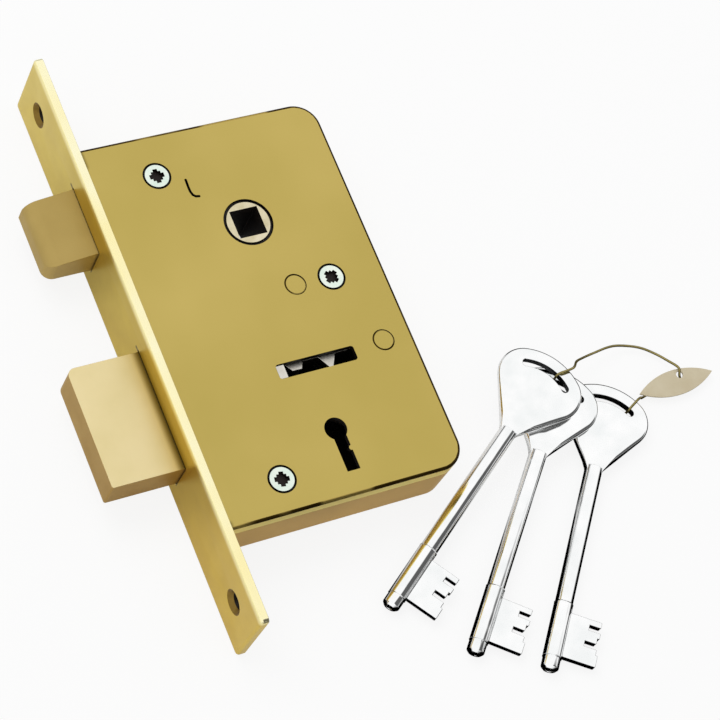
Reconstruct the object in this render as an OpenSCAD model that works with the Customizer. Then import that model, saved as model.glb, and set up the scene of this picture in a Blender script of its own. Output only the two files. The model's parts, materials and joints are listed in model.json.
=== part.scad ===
// Mortice lever lock with a spring latch and a deadbolt, and its ring of three keys.
// X runs from the forend's outer face into the door, Y runs up the forend, and Z
// points out of the cap. The origin is the centre of the forend's outer face.
// The lock lies on its back, so a table would carry the forend's lower edge and
// the case's rear edge, and the keys lie on that same table beside it.

/* [Forend] */
// Length of the forend
forend_l = 164; // [160:1:190]
// Width of the forend
forend_w = 24; // [22:0.5:28]
// Thickness of the forend
forend_t = 2.4; // [2:0.1:3]
// Radius of the forend's corners
forend_r = 1.2; // [0.5:0.1:3]
// Spacing of the two wood screw holes in the forend
fixing_spacing = 143; // [130:1:148]
// Diameter of each wood screw hole
fixing_d = 4.5; // [4:0.1:5]
// Diameter of each countersink
fixing_head_d = 7; // [6.5:0.1:8.4]

/* [Case] */
// Depth of the case behind the forend
case_d = 69.6; // [69:0.2:80]
// Height of the case
case_h = 110.8; // [109:0.2:120]
// Thickness of the case over its back and cap
case_t = 17.2; // [17:0.1:20]
// Height of the case's middle above the forend's middle
case_y = -0.5; // [-1:0.1:0.5]
// Radius of the case's two rear corners
corner_r = 7; // [5:0.5:9]
// Thickness of the case's walls
wall_t = 1.6; // [1.2:0.1:1.8]
// Thickness of the case's back
back_t = 1.6; // [1.4:0.1:1.7]
// Thickness of the cap
cap_t = 1.6; // [1.3:0.1:1.7]
// Height of the cap's turned-down rim, over its thickness
rim_h = 4; // [3:0.1:4.2]
// Radius of the pressed edges of the case and the cap
edge_r = 0.8; // [0.4:0.1:1.1]

/* [Fixings of the cap] */
// Inset of the upper screw from the top of the case
screw_top_inset = 12; // [11:0.5:13]
// Inset of the lower screw from the bottom of the case
screw_low_inset = 9.3; // [8:0.1:11]
// Distance of these two screws from the forend's outer face
screw_front_x = 21.3; // [20.5:0.1:23]
// Inset of the third screw from the rear of the case
screw_rear_inset = 15.3; // [14:0.1:16]
// Height of the third screw
screw_rear_y = 3.6; // [3:0.1:5]
// Radius of the pillars that the screws go into
pillar_r = 4; // [3.6:0.1:4.2]
// Radius of the screw's shank
screw_r = 1.9; // [1.5:0.1:2]
// Radius of the screw's head
screw_head_r = 3.3; // [3:0.1:3.5]
// Depth of the screw's head
screw_head_h = 1.8; // [1.6:0.1:2.2]

/* [Openings in the case] */
// Distance of the follower and the keyhole from the forend's outer face
backset = 40.6; // [40:0.1:42]
// Height of the follower's axis
follower_y = 24.2; // [23.5:0.1:24.5]
// Height of the key's axis
key_y = -37.4; // [-38:0.1:-37]
// Radius of the keyhole's round part
keyhole_r = 3.1; // [3:0.1:3.4]
// Width of the keyhole's slot
keyhole_w = 3.7; // [3.4:0.1:4]
// Reach of the keyhole's slot below the key's axis
keyhole_reach = 12; // [11.9:0.1:13]

/* [Latch bolt and deadbolt] */
// Thickness of both bolt heads
head_t = 9.8; // [9:0.1:10.2]
// Height of the heads' middle over the case's middle
head_z = -1.6; // [-1.8:0.1:-1.4]
// Height of the latch bolt's middle
latch_y = 37.1; // [36.8:0.1:37.6]
// Width of the latch bolt up the forend
latch_h = 19.4; // [19:0.1:20.6]
// Reach of the latch bolt out of the forend
latch_reach = 13.3; // [12.9:0.1:14]
// Travel of the latch bolt
latch_travel = 12.8; // [11:0.1:12.8]
// Height of the deadbolt's middle
bolt_y = -18.6; // [-19:0.05:-18.3]
// Width of the deadbolt up the forend
bolt_h = 33.7; // [32:0.1:34]
// Throw of the deadbolt
bolt_throw = 20; // [18:0.5:20]
// Radius of the deadbolt's upper corner
bolt_nose_r = 2.2; // [1:0.1:5]

/* [Follower] */
// Side of the follower's square hole
spindle = 8; // [7.6:0.1:8]
// Radius of the follower's journals in the case
journal_r = 6.8; // [6.6:0.1:7.2]
// Radius of the bosses that stand in the middle of the journals
boss_r = 6.05; // [5.9:0.05:6.2]
// Radius of the follower's hub
hub_r = 8.2; // [7.8:0.1:8.3]
// Length of the follower's arm, from its axis to the middle of its tip
arm_r = 16; // [15.5:0.1:16]

/* [Levers] */
// Lift that the key gives each lever, from the back of the case to the cap
lifts = [4.6, 1.0, 4.2, 4.8, 1.4, 4.6];
// Thickness of each lever
lever_t = 1.3; // [1.1:0.05:1.35]
// Gap between two levers
lever_gap = 0.25; // [0.2:0.05:0.3]
// Distance of the levers' pivot from the forend's outer face
pivot_x = 63.4; // [63:0.1:63.6]
// Height of the levers' pivot
pivot_y = -17.2; // [-17.5:0.1:-16.9]
// Radius of the levers' pivot pin
pivot_r = 3; // [2.5:0.1:3.1]
// Distance of the deadbolt's stump from the forend's outer face
stump_x = 33; // [32.8:0.1:33.2]
// Radius of the stump between the levers
stump_r = 1.25; // [1:0.05:1.4]
// Height of the stump's head, which slides in the cap
stump_head_h = 3.7; // [3.3:0.1:3.9]
// Height of the stop post for the lever springs
post_y = 3.9; // [3.5:0.1:4.5]
// Distance of the stop post from the forend's outer face
post_x = 46.1; // [45.5:0.1:46.6]

/* [Keys] */
// Length of a key from its tip to the neck of its bow
shaft_l = 60; // [55:1:64]
// Radius of a key's shaft
shaft_r = 2.4; // [2.2:0.1:2.6]
// Reach of the bit from the shaft's axis
bit_reach = 11.6; // [11.5:0.1:11.7]
// Thickness of the bit
bit_t = 2.4; // [2:0.1:2.6]
// Width of the bow
bow_w = 24.5; // [24:0.5:27]
// Length of the bow
bow_l = 25; // [24.5:0.25:26]
// Thickness of the bow
bow_t = 2.6; // [2:0.1:2.6]
// Radius of the ring's wire
ring_r = 0.35; // [0.3:0.05:0.45]
// Length of the tag
tag_l = 23.8; // [22:0.2:26]
// Thickness of the tag
tag_t = 0.5; // [0.4:0.1:0.6]

/* [Clearances] */
// Radial clearance of a journal, a lever or a pin end
run_fit = 0.05; // [0.03:0.01:0.09]
// Clearance round a sliding piece
slide_fit = 0.2; // [0.15:0.01:0.25]
// Extra relief of the forend's openings on the side of the cap
relief = 0.5; // [0.3:0.1:0.6]
// Open ring between a screw's head and the cap
screw_gap = 0.55; // [0.4:0.05:0.6]

/* [Hidden] */
$fn = 48;

// Faces of the case along Z, from the back to the cap
z_back = -case_t / 2;
z_back_in = z_back + back_t;
z_cap = case_t / 2;
z_cap_in = z_cap - cap_t;
z_seam = z_cap - rim_h;
// Faces of the case along X and Y
wall_x = forend_t + wall_t;
rear_x = forend_t + case_d;
rear_in = rear_x - wall_t;
case_top = case_y + case_h / 2;
case_low = case_y - case_h / 2;
// The places above are those in a case of the given size, and a deeper or taller
// case spreads its works out
given_d = 69.6;
given_h = 110.8;
deep = case_d / given_d;
tall = case_h / given_h;
function along(x) = forend_t + (x - forend_t) * deep;
function up(y) = case_y + (y - case_y) * tall;
throw = bolt_throw * deep;
travel = latch_travel * deep;
pillars = [
    [along(screw_front_x), case_top - screw_top_inset * tall],
    [rear_x - screw_rear_inset * deep, up(screw_rear_y)],
    [along(screw_front_x), case_low + screw_low_inset * tall]
];
key_at = [along(backset), up(key_y)];
follower_at = [along(backset), up(follower_y)];
pivot_at = [along(pivot_x), up(pivot_y)];
post_at = [along(post_x), up(post_y)];
latch_mid = up(latch_y);
bolt_mid = up(bolt_y);
stump_at = [along(stump_x), bolt_mid];
// Small overrun that carries a cut clear through a face
cut = 1;
spigot_r = 2;
fixed_fit = 0.02;
tenon_l = 1.2;
tenon_w = 9;
tenon_t = 5;
tenon_inset = 8;

// Heads of the latch bolt and the deadbolt
head_low = head_z - head_t / 2;
head_high = head_z + head_t / 2;
latch_low = latch_mid - latch_h / 2;
latch_slope = 10.8;
latch_nose_r = 4.5;
latch_corner_r = 3;
latch_step_x = pillars[0].x - pillar_r - travel - 0.3;
latch_block_x = 14;
latch_block_top = pillars[0].y - pillar_r - 0.5;
bolt_low = bolt_mid - bolt_h / 2;
bolt_top = bolt_mid + bolt_h / 2;
bolt_inner_x = 6.8;

// Follower's arm swings equally to both sides of its upright
arm_half = asin(travel / 2 / arm_r);
arm_tip_r = 2.5;
arm_side = 1.2;
arm_t = 4;
arm_tip = follower_at + arm_r * [-sin(arm_half), cos(arm_half)];

// Latch bolt's tail, its lug in front of the arm, and its rod and spring
tail_t = 3;
lug_gap = 0.15;
lug_l = 3;
lug_x = arm_tip.x + arm_tip_r + lug_gap;
lug_end = lug_x + lug_l;
lug_top = arm_tip.y + 3.5;
lug_low = min(arm_tip.y - 2.3, latch_block_top - 0.6);
strap_x = 8;
strap_low = follower_at.y + hub_r + 0.3;
rod_y = arm_tip.y + 0.4;
rod_z = -1;
rod_r = 1.3;
rod_end = rear_in - travel - 1;
spring_wire_r = 0.35;
spring_mean_r = 2.4;
spring_turns = 11;
rivet_r = 1.5;

// Deadbolt's tail and stump
tail_x = 0.5;
tail_low = key_at.y + 5.2;
tail_top = pillars[1].y - pillar_r - slide_fit;
tail_end = rear_in - throw - 1.4;
tail_stop_x = wall_x + 0.3;
tail_high_z = head_low + tail_t;
talon_x = key_at.x - throw / 2;
talon_top = key_at.y + bit_reach + 0.4;
talon_mouth_w = 6.8;
talon_w = 4;
stump_head_l = 2.3;
stump_head_z = z_cap_in - 0.8;
stump_top_z = z_cap - 0.5;
slot_end_gap = 0.25;

// Levers: at rest they lie dropped, and the correct key turns each by its own angle
lever_count = len(lifts);
lever_pitch = lever_t + lever_gap;
lever_z = tail_high_z + 0.3;
key_arm = pivot_at.x - key_at.x;
function lift_angle(i) = asin(lifts[i] / key_arm);
key_rest = 6.4;
function key_step_r(i) = key_rest + lifts[i];
eye_r = 6.2;
nose_x = bolt_inner_x + throw + 1.8;
lever_top = pivot_at.y + 5.7;
lever_low = key_at.y + 3.9;
window_fit = 0.2;
tooth_1_x = stump_at.x + 0.26 * throw;
tooth_2_x = stump_at.x + 0.74 * throw;
pocket_top = stump_at.y + stump_head_h / 2 + 0.4;
pocket_front = stump_at.x - stump_r - 0.3;
pocket_rear = stump_at.x + throw + stump_r + 1.4;
leaf_t = 0.3;
leaf_w = 0.8;
leaf_root = [pivot_at.x - 4.9, lever_top - 0.6];
leaf_sunk = 2.5;
leaf_spare = 1.5;

// Middle of the stump in a lever's own frame, where the lever has been lifted in
// step with the bolt and reaches its true lift a at the second tooth
function stump_path(x, a) =
    let (lift = a * (x - stump_at.x) / (tooth_2_x - stump_at.x))
    pivot_at.y + (stump_at.y - pivot_at.y) * cos(lift) - (pivot_at.x - x) * sin(lift);
// The same, with the key holding the lever at its true lift all the way
function stump_line(x, a) = stump_at.y - (pivot_at.x - x) * sin(a);

// Table under the lock, tipped because the forend is wider than the case is thick
table_tip = atan((forend_w / 2 - case_t / 2) / case_d);
module on_table() {
    translate([forend_t, 0, -forend_w / 2]) rotate([0, -table_tip, 0]) children();
}
// Keys fanned out on the table: tip's place, heading and tilt over the key below
key_tips = [[40.2, -82.6], [57, -101.2], [74.5, -111.4]];
key_headings = [35.3, 49.7, 53.3];
key_tilts = [5.8, 3, 0.5];
// Point of a key in the table's frame
function key_point(k, p) =
    let (a = key_tilts[k], flat = [p.x * cos(a) - p.z * sin(a), p.y])
    concat(key_tips[k] + turned(flat, key_headings[k]), shaft_r + p.x * sin(a) + p.z * cos(a));
bit_x = 4.5;
bit_bolt_w = 3.25;
collar_r = shaft_r + 0.15;
bow_top_r = 17;
bow_cheek_r = 7.5;
bow_x = shaft_l + bow_l - bow_top_r;
bow_slot_r = 12.6;
bow_slot_w = 2;
bow_slot_half = 30;
ring_lift = bow_t / 2 + ring_r + 0.4;
function bow_point(r, a, z = 0) = [bow_x + r * cos(a), r * sin(a), z];
// Where the slots of the two upper keys cross, as seen from above
bows = [for (k = [0, 1]) let (p = key_point(k, [bow_x, 0, 0])) [p.x, p.y]];
bow_step = bows[1] - bows[0];
cross_h = sqrt(pow(bow_slot_r, 2) - bow_step * bow_step / 4);
ring_at = (bows[0] + bows[1]) / 2 + cross_h * [-bow_step.y, bow_step.x] / norm(bow_step);
ring_a = atan2(ring_at.y - bows[0].y, ring_at.x - bows[0].x) - key_headings[0];
slot_a = 4 - bow_slot_half;
rim_r = bow_top_r + ring_r + 0.4;
tag_z = 1.8;
tag_w = 7.4;
tag_turn = 1.2;
tag_hole = [146.9, -44.8];
tag_hole_r = 1;
tag_left = [133, -46.9];
// Way of the ring's wire from the rim of key 1 to the tag
ring_way = [[145.6, -40.2, 2.2], [143.2, -36.9, 1.5], [139.3, -33.9, 1.7], [134, -32.1, 2.4],
    [129.8, -31.8, 3.4], [124.3, -32.6, 4.6], [119.5, -33.7, 6.6], [115.5, -35.2, 9.6]];
rim_back = 5;

function turned(p, a) = [p.x * cos(a) - p.y * sin(a), p.x * sin(a) + p.y * cos(a)];

// Wire of round section along a path, as one closed polyhedron
function unit(v) = v / norm(v);
function tangents(path) = [
    for (i = [0:len(path) - 1])
        unit(path[min(i + 1, len(path) - 1)] - path[max(i - 1, 0)])
];
function normals(t, n, i = 0) =
    i == len(t) ? [] : let (a = unit(n - (n * t[i]) * t[i])) concat([a], normals(t, a, i + 1));
// Smooth curve through points
function spline(p, n = 6) = concat([
    for (i = [0:len(p) - 2], k = [0:n - 1])
        let (t = k / n, a = p[max(i - 1, 0)], b = p[i], c = p[i + 1], d = p[min(i + 2, len(p) - 1)])
        b + t * (c - a) / 2 + t * t * (a - 2.5 * b + 2 * c - d / 2)
            + t * t * t * (-a / 2 + 1.5 * b - 1.5 * c + d / 2)
], [p[len(p) - 1]]);
module wire(path, r, first_normal, sides = 8) {
    t = tangents(path);
    n = normals(t, first_normal);
    points = [
        for (i = [0:len(path) - 1], k = [0:sides - 1])
            let (a = 360 * k / sides)
            path[i] + r * (cos(a) * n[i] + sin(a) * cross(t[i], n[i]))
    ];
    skin = [
        for (i = [0:len(path) - 2], k = [0:sides - 1])
            let (m = (k + 1) % sides)
            [i * sides + k, (i + 1) * sides + k, (i + 1) * sides + m, i * sides + m]
    ];
    first = [for (k = [0:sides - 1]) k];
    last = [for (k = [0:sides - 1]) (len(path) - 1) * sides + sides - 1 - k];
    polyhedron(points, concat(skin, [first, last]), convexity = 10);
}

// Case: a tray and a screwed-on cap, pressed from one outline
module case_outline(inset = 0) {
    r = corner_r - inset;
    x = forend_t + inset;
    l = case_d - 2 * inset;
    h = case_h - 2 * inset;
    translate([x, case_low + inset]) square([l - r, h]);
    translate([x, case_low + inset + r]) square([l, h - 2 * r]);
    for (y = [case_low + corner_r, case_top - corner_r])
        translate([rear_x - corner_r, y]) circle(r);
}

module edge_profile() {
    difference() {
        square(edge_r + cut);
        circle(edge_r);
    }
}

// Cuts the round edge of the cap, along the top, the rear and the bottom
module edge_cutter() {
    z = z_cap - edge_r;
    x = rear_x - corner_r;
    translate([0, case_top - edge_r, z]) rotate([90, 0, 90]) linear_extrude(x) edge_profile();
    translate([x, case_low + edge_r, z]) rotate([90, 0, -90]) linear_extrude(x) edge_profile();
    translate([rear_x - edge_r, case_top - corner_r, z]) rotate([90, 0, 0])
        linear_extrude(case_h - 2 * corner_r) edge_profile();
    for (turn = [0, -90])
        translate([x, turn == 0 ? case_top - corner_r : case_low + corner_r, z])
            rotate([0, 0, turn]) rotate_extrude(angle = 90)
                translate([corner_r - edge_r, 0]) edge_profile();
}

module keyhole_outline() {
    slot_x = 0.25;
    ward_r = 0.7;
    translate(key_at) {
        circle(keyhole_r);
        difference() {
            translate([slot_x - keyhole_w / 2, -keyhole_reach]) square([keyhole_w, keyhole_reach]);
            translate([slot_x + keyhole_w / 2, -keyhole_reach / 2]) circle(ward_r);
        }
    }
}

module head_opening(y, h) {
    translate([-cut, y - h / 2 - slide_fit, head_low - slide_fit])
        cube([wall_x + 2 * cut, h + 2 * slide_fit, head_t + slide_fit + relief]);
}

module head_openings() {
    head_opening(latch_mid, latch_h);
    head_opening(bolt_mid, bolt_h);
}

module tenons(fit = 0) {
    for (y = [case_low + tenon_inset, case_top - tenon_inset])
        translate([forend_t - tenon_l - fit, y - tenon_w / 2 - fit, -tenon_t / 2 - fit])
            cube([tenon_l + fit + 0.01, tenon_w + 2 * fit, tenon_t + 2 * fit]);
}

module forend() {
    csk_d = (fixing_head_d - fixing_d) / 2;
    color("#C6AE5E")
    difference() {
        union() {
            translate([0, -forend_l / 2 + forend_r, -forend_w / 2])
                cube([forend_t, forend_l - 2 * forend_r, forend_w]);
            translate([0, -forend_l / 2, -forend_w / 2 + forend_r])
                cube([forend_t, forend_l, forend_w - 2 * forend_r]);
            for (y = [-1, 1], z = [-1, 1])
                translate([0, y * (forend_l / 2 - forend_r), z * (forend_w / 2 - forend_r)])
                    rotate([0, 90, 0]) cylinder(h = forend_t, r = forend_r);
        }
        head_openings();
        for (y = [-1, 1]) translate([0, y * fixing_spacing / 2, 0]) rotate([0, 90, 0]) {
            translate([0, 0, -cut]) cylinder(h = forend_t + 2 * cut, d = fixing_d);
            cylinder(h = csk_d, d1 = fixing_head_d, d2 = fixing_d);
            translate([0, 0, -cut]) cylinder(h = cut, d = fixing_head_d);
        }
        tenons(0.05);
    }
}

module case_body() {
    color("#BFA658")
    difference() {
        union() {
            difference() {
                translate([0, 0, z_back]) linear_extrude(z_seam - z_back) case_outline();
                translate([0, 0, z_back_in]) linear_extrude(case_t) case_outline(wall_t);
            }
            tenons();
        }
        head_openings();
        mirror([0, 0, 1]) edge_cutter();
        translate([0, 0, z_back - cut]) {
            linear_extrude(back_t + 2 * cut) keyhole_outline();
            translate(follower_at) cylinder(h = back_t + 2 * cut, r = journal_r + run_fit);
            for (at = concat(pillars, [pivot_at, post_at]))
                translate(at) cylinder(h = back_t + 2 * cut, r = spigot_r + fixed_fit);
        }
    }
}

module case_cap() {
    slot_l = throw + stump_head_l + 2 * slot_end_gap;
    slot_h = stump_head_h + 2 * slide_fit;
    color("#C6AE5E")
    difference() {
        translate([0, 0, z_seam]) linear_extrude(rim_h) case_outline();
        translate([0, 0, z_seam - cut]) linear_extrude(rim_h - cap_t + cut) case_outline(wall_t);
        edge_cutter();
        translate([0, 0, z_cap_in - cut]) {
            linear_extrude(cap_t + 2 * cut) {
                keyhole_outline();
                inspection_slot(slot_l, slot_h);
                tool_slit();
            }
            translate(follower_at) cylinder(h = cap_t + 2 * cut, r = journal_r + run_fit);
            for (at = [pivot_at, post_at])
                translate(at) cylinder(h = cap_t + 2 * cut, r = pivot_r + run_fit);
            for (at = pillars) translate(at) cylinder(h = cap_t + 2 * cut, r = screw_r + 0.3);
        }
        for (at = pillars) translate(at) screw_head(0.05, screw_gap);
    }
}

// Slot in which the stump's head slides and the levers' gates can be seen
module inspection_slot(l, h) {
    r = 0.8;
    x = stump_at.x - stump_head_l / 2 - slot_end_gap;
    translate([x + r, stump_at.y - h / 2]) square([l - 2 * r, h]);
    translate([x, stump_at.y - h / 2 + r]) square([l, h - 2 * r]);
    for (cx = [x + r, x + l - r], cy = [-1, 1])
        translate([cx, stump_at.y + cy * (h / 2 - r)]) circle(r);
}

// Small hooked slit beside the upper screw
module tool_slit() {
    w = 0.7;
    way = [for (p = [[7.2, -2.9], [7.1, -5.3], [7.15, -6.5], [7.45, -7.55], [8.1, -8.15], [9, -8.3]])
        pillars[0] + p];
    for (p = way) translate(p) circle(w / 2);
    for (i = [0:len(way) - 2]) let (d = way[i + 1] - way[i])
        translate(way[i]) rotate(atan2(d.y, d.x)) translate([0, -w / 2]) square([norm(d), w]);
}

module screw_head(fit = 0, ring = 0) {
    land = 0.9;
    translate([0, 0, z_cap - land]) cylinder(h = land + cut * sign(fit), r = screw_head_r + fit + ring);
    translate([0, 0, z_cap - screw_head_h])
        cylinder(h = screw_head_h - land, r1 = screw_r + fit, r2 = screw_head_r + fit);
}

module cap_screws() {
    shank_l = 9;
    cross_l = 4.1;
    cross_w = 1.3;
    heart = 2.7;
    cross_d = 1.1;
    color("#DDE3DA")
    for (k = [0:2]) translate(pillars[k]) difference() {
        union() {
            screw_head();
            translate([0, 0, z_cap - screw_head_h - shank_l]) cylinder(h = shank_l, r = screw_r);
        }
        rotate(40 * k) {
            for (turn = [0, 90]) rotate(turn) translate([-cross_l / 2, -cross_w / 2, z_cap - cross_d])
                cube([cross_l, cross_w, cross_d + cut]);
            translate([-heart / 2, -heart / 2, z_cap - cross_d]) cube([heart, heart, cross_d + cut]);
        }
    }
}

module cap_pillars() {
    hole_l = 12;
    color("#A9A79C")
    for (at = pillars) translate(at) difference() {
        union() {
            translate([0, 0, z_back_in]) cylinder(h = z_cap_in - z_back_in, r = pillar_r);
            translate([0, 0, z_back]) cylinder(h = back_t, r = spigot_r);
        }
        translate([0, 0, z_cap_in - hole_l]) cylinder(h = hole_l + cut, r = screw_r + run_fit);
        screw_head(0.1);
    }
}

// Pin with a riveted spigot in the back and a flush end in the cap
module case_pin(at, r) {
    translate(at) {
        translate([0, 0, z_back_in]) cylinder(h = z_cap - z_back_in, r = r);
        translate([0, 0, z_back]) cylinder(h = back_t, r = spigot_r);
    }
}

module lever_pivot() {
    color("#BDA55A") case_pin(pivot_at, pivot_r);
}

module spring_post() {
    color("#BDA55A") case_pin(post_at, pivot_r);
}

// Latch bolt: a head with a sloping upper side and a round nose, and a narrower block inside
module latch_bolt() {
    color("#C2A964")
    difference() {
        union() {
            intersection() {
                translate([0, latch_low + latch_h, 0]) rotate([90, 0, 0])
                    linear_extrude(latch_h) latch_section();
                translate([0, 0, head_low - cut]) linear_extrude(head_t + 2 * cut) latch_plan();
            }
            translate([latch_step_x - cut, latch_low, head_low])
                cube([latch_block_x - latch_step_x + cut, latch_block_top - latch_low, head_t]);
        }
        translate([strap_x, latch_low - cut, head_low - cut])
            cube([latch_block_x, latch_h + 2 * cut, tail_t + cut + fixed_fit]);
        latch_rivet_at() cylinder(h = head_t, r = rivet_r + fixed_fit);
    }
}

module latch_section() {
    r = latch_nose_r;
    nose_x = r - latch_reach;
    nose_z = head_high + nose_x * tan(latch_slope) - r / cos(latch_slope);
    intersection() {
        translate([nose_x, nose_z]) circle(r, $fn = 96);
        translate([-latch_reach, nose_z]) square(2 * r);
    }
    polygon([
        [latch_step_x, head_low], [latch_step_x, head_high], [0, head_high],
        [nose_x - r * sin(latch_slope), nose_z + r * cos(latch_slope)],
        [nose_x, nose_z], [-latch_reach, nose_z], [-latch_reach, head_low]
    ]);
}

// Plan of the latch bolt's head, with its lower outer corner well rounded
module latch_plan() {
    r = latch_corner_r;
    translate([-latch_reach + r, latch_low]) square([latch_reach - r + latch_step_x, latch_h]);
    translate([-latch_reach, latch_low + r]) square([r, latch_h - r]);
    translate([-latch_reach + r, latch_low + r]) circle(r);
}

module latch_rivet_at() {
    translate([(strap_x + latch_block_x) / 2, (strap_low + latch_block_top) / 2, head_low]) children();
}

module latch_tail() {
    color("#8E8C82")
    difference() {
        union() {
            translate([strap_x + fixed_fit, strap_low, head_low])
                cube([lug_end - strap_x - fixed_fit, latch_block_top - strap_low, tail_t]);
            translate([lug_x, lug_low, head_low])
                cube([lug_l, lug_top - lug_low, arm_t / 2 + 0.6 - head_low]);
        }
        latch_rivet_at() cylinder(h = tail_t + cut, r = rivet_r + fixed_fit);
    }
}

module latch_rod() {
    color("#B5B3A8") union() {
        translate([lug_end, rod_y, rod_z]) rotate([0, 90, 0]) cylinder(h = rod_end - lug_end, r = rod_r);
        latch_rivet_at() cylinder(h = head_t - 1, r = rivet_r);
    }
}

module latch_spring() {
    x0 = lug_end + spring_wire_r + 0.1;
    l = rear_in - spring_wire_r - 0.1 - x0;
    steps = 12;
    color("#9C9B95") wire([
        for (i = [0:spring_turns * steps])
            let (a = 360 * i / steps)
            [x0 + l * i / (spring_turns * steps), rod_y + spring_mean_r * cos(a),
                rod_z + spring_mean_r * sin(a)]
    ], spring_wire_r, [0, 1, 0], 6);
}

module follower() {
    gap = 0.3;
    end = 0.1;
    groove = 0.8;
    color("#CFC39A")
    translate(follower_at) difference() {
        union() {
            translate([0, 0, z_back + end]) cylinder(h = case_t - 2 * end, r = boss_r);
            translate([0, 0, z_back + groove]) cylinder(h = case_t - 2 * groove, r = journal_r);
            translate([0, 0, z_back_in + gap])
                cylinder(h = z_cap_in - z_back_in - 2 * gap, r = hub_r);
            rotate(arm_half) {
                translate([-arm_tip_r, 0, -arm_t / 2]) cube([arm_tip_r + arm_side, arm_r, arm_t]);
                translate([0, arm_r, -arm_t / 2]) cylinder(h = arm_t, r = arm_tip_r);
            }
        }
        translate([-spindle / 2, -spindle / 2, z_back - cut]) cube([spindle, spindle, case_t + 2 * cut]);
    }
}

// Deadbolt: a solid head riveted to a flat tail that carries the stump
module deadbolt_head() {
    r = bolt_nose_r;
    low_r = 0.6;
    color("#D0BA74")
    difference() {
        translate([0, 0, head_low]) linear_extrude(head_t) {
            translate([-throw + r, bolt_low]) square([throw - r + bolt_inner_x, bolt_h]);
            translate([-throw, bolt_low + low_r]) square([r, bolt_h - r - low_r]);
            translate([-throw + r, bolt_top - r]) circle(r);
            translate([-throw + low_r, bolt_low + low_r]) circle(low_r);
            translate([-throw + low_r, bolt_low]) square([r - low_r, low_r]);
        }
        translate([tail_x - fixed_fit, tail_low - fixed_fit, head_low - cut])
            cube([bolt_inner_x, bolt_h, tail_t + cut + fixed_fit]);
        deadbolt_rivets_at() cylinder(h = head_t, r = rivet_r + fixed_fit);
    }
}

module deadbolt_rivets_at() {
    x = (tail_x + bolt_inner_x) / 2;
    for (y = [-0.25, 0.25]) translate([x, bolt_mid + y * bolt_h, head_low]) children();
}

module deadbolt_rivets() {
    color("#C9B168") deadbolt_rivets_at() cylinder(h = head_t - 1, r = rivet_r);
}

module deadbolt_tail() {
    shoulder = min(bolt_top - 0.4, tail_top - 1);
    color("#8E8C82")
    difference() {
        translate([0, 0, head_low]) linear_extrude(tail_t) difference() {
            polygon([
                [tail_x, tail_low], [tail_end, tail_low], [tail_end, tail_top],
                [tail_stop_x, tail_top], [tail_stop_x, shoulder], [tail_x, shoulder]
            ]);
            // Fork that slides along the levers' pivot
            translate([pivot_at.x - throw, pivot_at.y]) circle(pivot_r + slide_fit);
            translate([pivot_at.x - throw, pivot_at.y - pivot_r - slide_fit])
                square([throw, 2 * (pivot_r + slide_fit)]);
            // Talon that the key's bit turns in
            polygon([
                [talon_x - talon_mouth_w / 2, tail_low - cut], [talon_x - talon_mouth_w / 2, tail_low],
                [talon_x - talon_w / 2, tail_low + 2.4], [talon_x - talon_w / 2, talon_top],
                [talon_x + talon_w / 2, talon_top], [talon_x + talon_w / 2, tail_low + 2.4],
                [talon_x + talon_mouth_w / 2, tail_low], [talon_x + talon_mouth_w / 2, tail_low - cut]
            ]);
            translate([stump_at.x, stump_at.y]) circle(stump_r + fixed_fit);
        }
        deadbolt_rivets_at() cylinder(h = tail_t + cut, r = rivet_r + fixed_fit);
    }
}

module deadbolt_stump() {
    color("#E4E0D0")
    translate([stump_at.x, stump_at.y, 0]) {
        translate([0, 0, head_low]) cylinder(h = stump_head_z - head_low, r = stump_r);
        translate([-stump_head_l / 2, -stump_head_h / 2, stump_head_z])
            cube([stump_head_l, stump_head_h, stump_top_z - stump_head_z]);
    }
}

// Window of a lever: two pockets, and between them a gate under two teeth
module lever_window(a) {
    reach = stump_r + window_fit;
    tip_1 = stump_path(tooth_1_x - 2.2, a) + reach;
    tip_2 = stump_path(tooth_2_x, a) + reach;
    floor_1 = stump_line(pocket_front, a) - reach;
    floor_2 = stump_line(tooth_2_x, a) - reach - 0.15;
    polygon([
        [pocket_front, floor_1], [pocket_front, pocket_top],
        [tooth_1_x - 2.6, pocket_top], [tooth_1_x - 1.2, tip_1],
        [tooth_1_x + 1.5, tip_1], [tooth_1_x + 2.4, pocket_top],
        [tooth_2_x - 2.6, pocket_top], [tooth_2_x - 0.3, tip_2],
        [tooth_2_x + 0.3, tip_2], [tooth_2_x + 2.4, pocket_top],
        [pocket_rear, pocket_top], [pocket_rear, floor_2], [tooth_2_x, floor_2]
    ]);
}

module lever(i) {
    a = lift_angle(i);
    color(i % 2 == 0 ? "#D9D4C0" : "#CFC9B2")
    translate([0, 0, lever_z + i * lever_pitch]) difference() {
        union() {
            linear_extrude(lever_t) polygon([
                [nose_x, lever_top - 3], [nose_x + 3, lever_top],
                [pivot_at.x + 1, lever_top], [pivot_at.x + 1, 2 * pivot_at.y - lever_top],
                [pivot_at.x - 9, lever_low + 4.5], [pivot_at.x - 12, lever_low],
                [nose_x + 4, lever_low], [nose_x, lever_low + 6]
            ]);
            translate(pivot_at) cylinder(h = lever_t, r = eye_r);
        }
        translate([0, 0, -cut]) {
            translate(pivot_at) cylinder(h = lever_t + 2 * cut, r = pivot_r + run_fit);
            linear_extrude(lever_t + 2 * cut) lever_window(a);
            // Belly: the arc of the lifted lever round the key
            translate(pivot_at + turned(key_at - pivot_at, a))
                cylinder(h = lever_t + 2 * cut, r = key_step_r(i) + run_fit, $fn = 96);
            linear_extrude(lever_t + 2 * cut) leaf(leaf_t / 2 + fixed_fit, leaf_spare + cut);
        }
    }
}

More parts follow.
